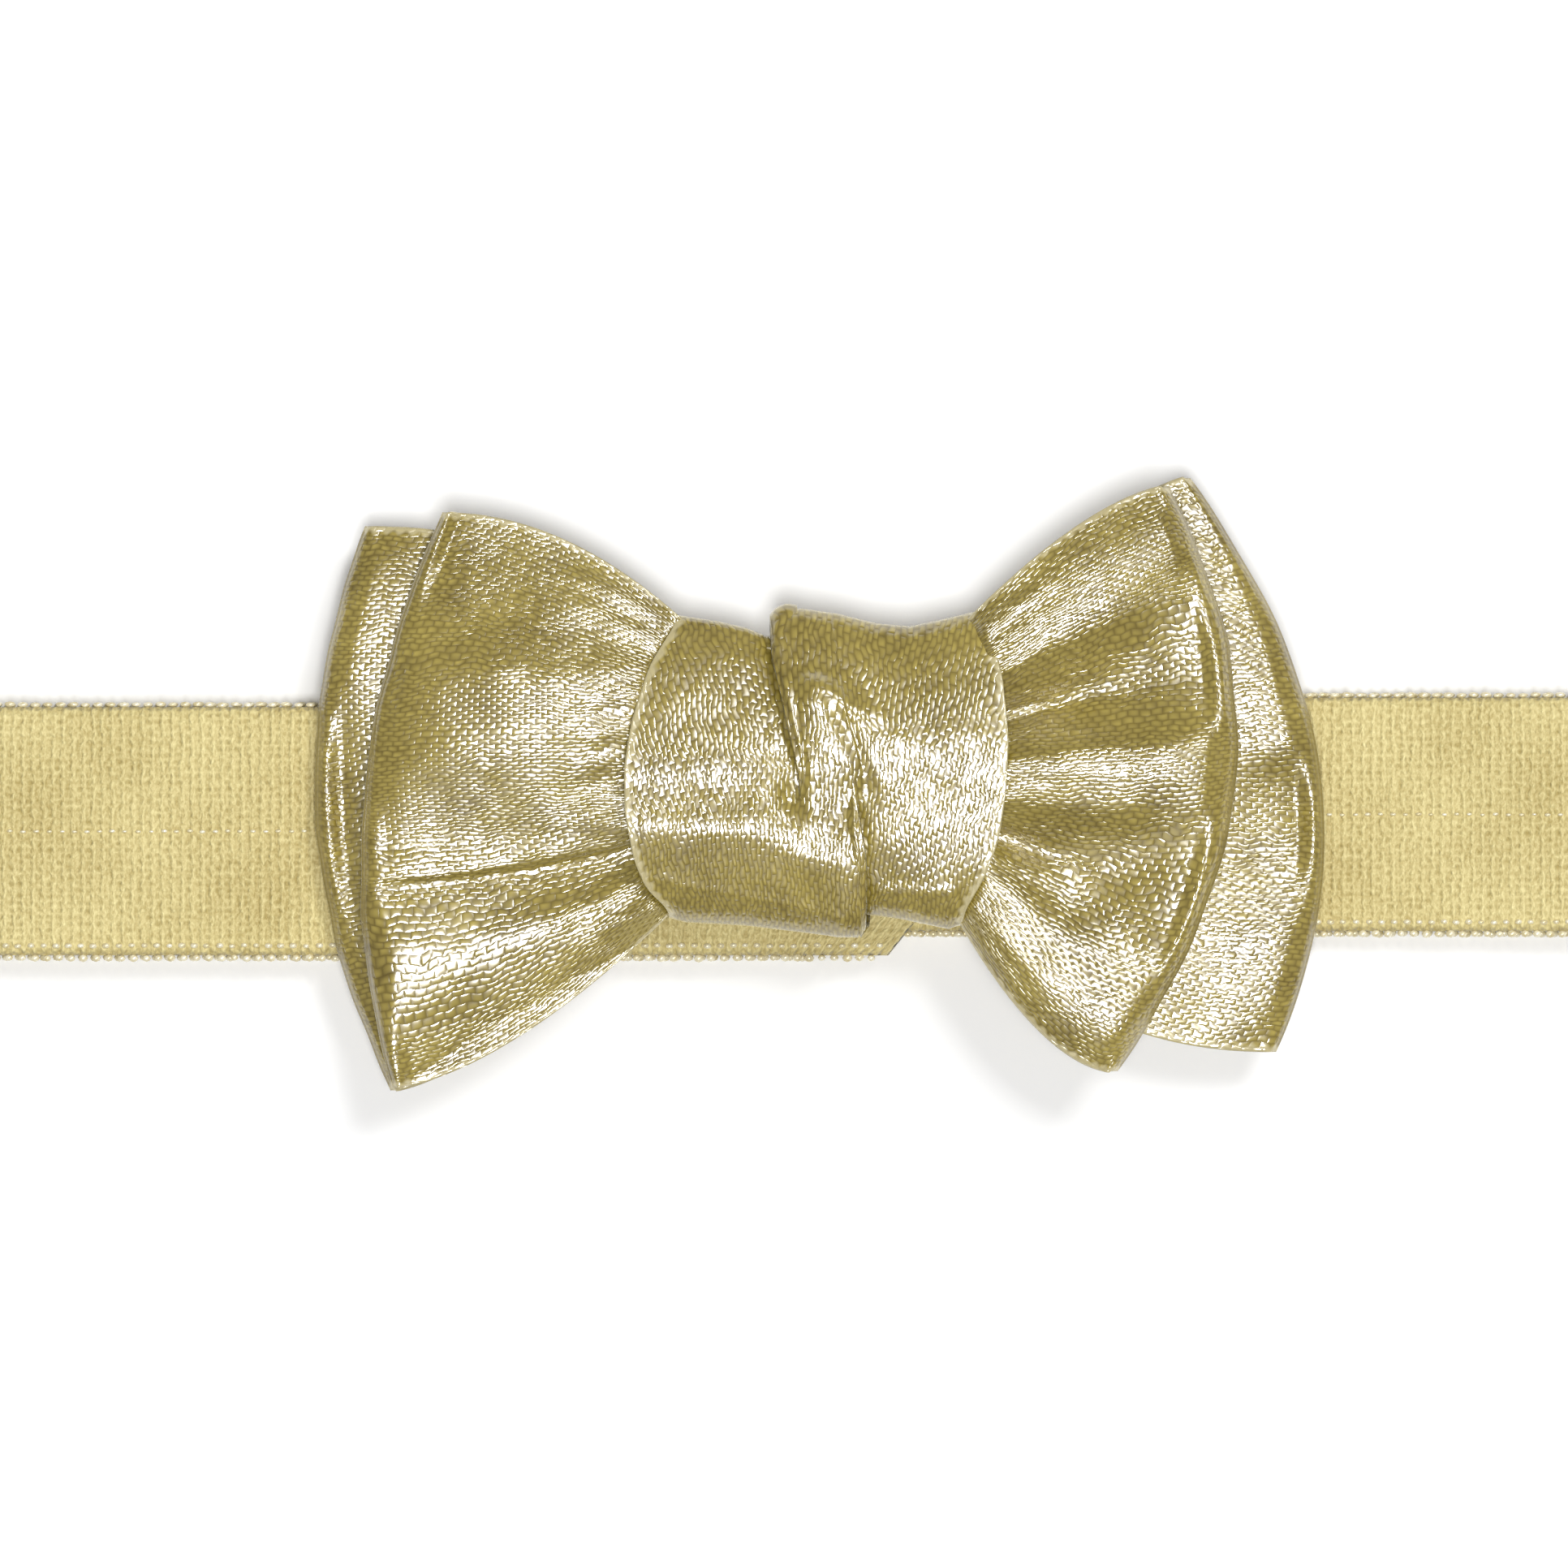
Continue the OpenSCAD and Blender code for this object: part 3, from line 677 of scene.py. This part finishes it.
def band_side(name, side, y_mid, half_w, nodes):
    """One half of the elastic, from its glued end under the bow to the middle underneath."""
    x, z = band_path(side)
    length = np.concatenate([[0], np.cumsum(np.hypot(np.diff(x), np.diff(z)))])
    cols = 41
    w = np.linspace(-1, 1, cols)
    ang = np.unwrap(np.arctan2(np.gradient(z), np.gradient(x)))
    nx, nz = -side * np.sin(ang), side * np.cos(ang)
    rows = len(x)
    pts = np.zeros((rows, cols, 3))
    # The middle line is pressed in a little and the edges are soft.
    dent = -0.10 * np.exp(-(w * half_w / 0.45) ** 2) - 0.28 * smooth((np.abs(w) - 0.93) / 0.07)
    for k in range(cols):
        pts[:, k, 0] = x + nx * (BAND_T / 2 + dent[k])
        pts[:, k, 2] = z + nz * (BAND_T / 2 + dent[k])
        pts[:, k, 1] = y_mid + w[k] * half_w
    if side < 0:
        # The end on top is cut slanting at its lower corner.
        cut = 0.8 - 0.8 * np.minimum((w + 1) * half_w, 2.5)
        near = smooth(1 - length / 12)[:, None]
        pts[:, :, 0] -= cut[None, :] * near
    uv = np.stack(np.broadcast_arrays(length[:, None], w * half_w), -1)
    place_map = np.stack(np.broadcast_arrays(0 * length[:, None] + NO_FOLD, (1 - np.abs(w)) * half_w), -1)
    band = grid_piece(name, pts, uv, place_map, ELASTIC, BAND_MESH_T, flip=side > 0)
    finish_band(band)
    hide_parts(*nodes)
    trim = band_trim(name.replace("band", "picot"), side, x, z, nx, nz, length, y_mid, half_w)
    finish_band(trim)


def finish_band(piece):
    """Bakes the elastic piece's placement into its mesh."""
    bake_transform(piece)


def bead(rows=5, cols=8):
    """Points and faces of a small round bead of radius 1."""
    verts, faces = [(0, 0, 1)], []
    for i in range(1, rows):
        a = math.pi * i / rows
        for j in range(cols):
            b = 2 * math.pi * j / cols
            verts.append((math.sin(a) * math.cos(b), math.sin(a) * math.sin(b), math.cos(a)))
    verts.append((0, 0, -1))
    last = len(verts) - 1
    for j in range(cols):
        n = (j + 1) % cols
        faces.append((0, 1 + j, 1 + n))
        for i in range(rows - 2):
            a, b = 1 + i * cols, 1 + (i + 1) * cols
            faces.append((a + j, b + j, b + n, a + n))
        faces.append((1 + (rows - 2) * cols + n, 1 + (rows - 2) * cols + j, last))
    return np.array(verts), faces


def band_trim(name, side, x, z, nx, nz, length, y_mid, half_w):
    """Picot loops along both edges and the row of stitches down the middle."""
    unit, unit_faces = bead()
    verts, faces = [], []

    def add(at, size, turn):
        cos, sin = math.cos(turn), math.sin(turn)
        base = sum(len(v) for v in verts)
        p = unit * np.array(size)
        # Turned about Y so that the bead lies along the elastic.
        verts.append(np.stack([p[:, 0] * cos - p[:, 2] * sin, p[:, 1],
                               p[:, 0] * sin + p[:, 2] * cos], 1) + at)
        faces.extend(tuple(base + i for i in f) for f in unit_faces)

    rng = np.random.default_rng(5 if side < 0 else 6)
    # Rows of beads: (place across, pitch, half-sizes, height above the middle line).
    rows = (
        (-1.0, 0.78, (0.30, 0.24, 0.20), 0.18), (1.0, 0.78, (0.34, 0.17, 0.17), 0.12),
        (-0.92, 0.78, (0.25, 0.17, 0.15), 0.42), (0.0, 0.80, (0.20, 0.11, 0.10), 0.40),
    )
    for k, (w, pitch, size, lift) in enumerate(rows):
        at = 0.5 if k else 0.3
        while at < length[-1] - 0.2:
            i = min(np.searchsorted(length, at), len(x) - 1)
            px, pz = np.interp(at, length, x), np.interp(at, length, z)
            y = y_mid + w * (half_w + (0.16 if abs(w) == 1 else 0)) + rng.uniform(-0.03, 0.03)
            turn = math.atan2(-nx[i], nz[i]) if nz[i] else 0.0
            scale = rng.uniform(0.85, 1.12)
            cut_off = side < 0 and w < -0.9 and at < 1.2      # at the slanting cut there are none
            if not cut_off:
                add(np.array([px + nx[i] * lift, y, pz + nz[i] * lift]),
                    [s * scale for s in size], turn)
            at += pitch * rng.uniform(0.94, 1.06)
    mesh = bpy.data.meshes.new(name)
    mesh.from_pydata((np.concatenate(verts) * MM).tolist(), [], faces)
    mesh.update()
    mesh.shade_smooth()
    mesh.materials.append(PICOT)
    obj = bpy.data.objects.new(name, mesh)
    bpy.context.scene.collection.objects.link(obj)
    return obj


def make_band():
    left, right = box_mm("band_fold_left"), box_mm("band_fold_right")
    left_half_w, right_half_w = 7.75, 7.3       # without the picots; the right run is seen narrower
    band_side("band_left", -1, (left[0][1] + left[1][1]) / 2, left_half_w,
              ("band_front_left", "band_fold_left", "band_back_run"))
    band_side("band_right", 1, (right[0][1] + right[1][1]) / 2, right_half_w,
              ("band_front_right", "band_fold_right"))


# ------------------------------------------------------------------ hidden trim

def carry_over(node, material):
    """A CAD node whose shape is right keeps it and gets its real finish."""
    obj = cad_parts[node]
    obj.data.materials.clear()
    obj.data.materials.append(material)


# ------------------------------------------------------------------ stage

def make_stage():
    """White paper under the bow, and a camera straight above it."""
    bpy.ops.mesh.primitive_plane_add(size=6, location=(0, 0, 0))
    floor = bpy.context.object
    floor.name = "floor"
    paper = Graph("paper")
    paper.shader.inputs["Base Color"].default_value = (0.92, 0.92, 0.92, 1)
    paper.shader.inputs["Roughness"].default_value = 0.9
    paper.shader.inputs["Specular IOR Level"].default_value = 0.1
    floor.data.materials.append(paper.material)

    camera = bpy.data.objects.new("camera", bpy.data.cameras.new("camera"))
    bpy.context.scene.collection.objects.link(camera)
    distance, plane, sensor = 0.8, 5 * MM, 36       # VIEW_W is what it sees at the plane's height
    camera.data.sensor_width = sensor
    camera.data.lens = sensor * (distance - plane) / (VIEW_W * MM)
    camera.location = (0, 0, distance)
    camera.data.clip_start, camera.data.clip_end = 0.01, 10
    bpy.context.scene.camera = camera


def softbox(name, azimuth, elevation, distance, size, power):
    """A square light that looks at the bow. Azimuth 0 is +X and 90 is +Y."""
    light = bpy.data.lights.new(name, "AREA")
    light.shape = "SQUARE"
    light.size = size
    light.energy = power
    obj = bpy.data.objects.new(name, light)
    bpy.context.scene.collection.objects.link(obj)
    a, e = math.radians(azimuth), math.radians(elevation)
    obj.location = (distance * math.cos(e) * math.cos(a), distance * math.cos(e) * math.sin(a),
                    distance * math.sin(e))
    obj.rotation_euler = (-obj.location).to_track_quat("-Z", "Y").to_euler()


def make_light():
    """A bright softbox overhead, a key light from the upper right and a weak fill."""
    scene = bpy.context.scene
    scene.view_settings.view_transform = "Standard"
    world = bpy.data.worlds.new("studio")
    world.use_nodes = True
    scene.world = world
    background = world.node_tree.nodes["Background"]
    background.inputs[0].default_value = (1, 1, 1, 1)
    background.inputs[1].default_value = 0.18
    softbox("overhead", -85, 83, 1.5, 0.36, 16)
    softbox("key", 50, 58, 1.5, 0.40, 9)
    softbox("fill", -110, 50, 1.5, 0.60, 0.8)


make_stage()
make_light()
make_rings()
make_knot()
make_band()
carry_over("waist_thread", THREAD)
carry_over("knot_tail", KNOT_SATIN)
for glue_node in ("band_join_glue", "bow_glue", "knot_glue"):
    carry_over(glue_node, GLUE)
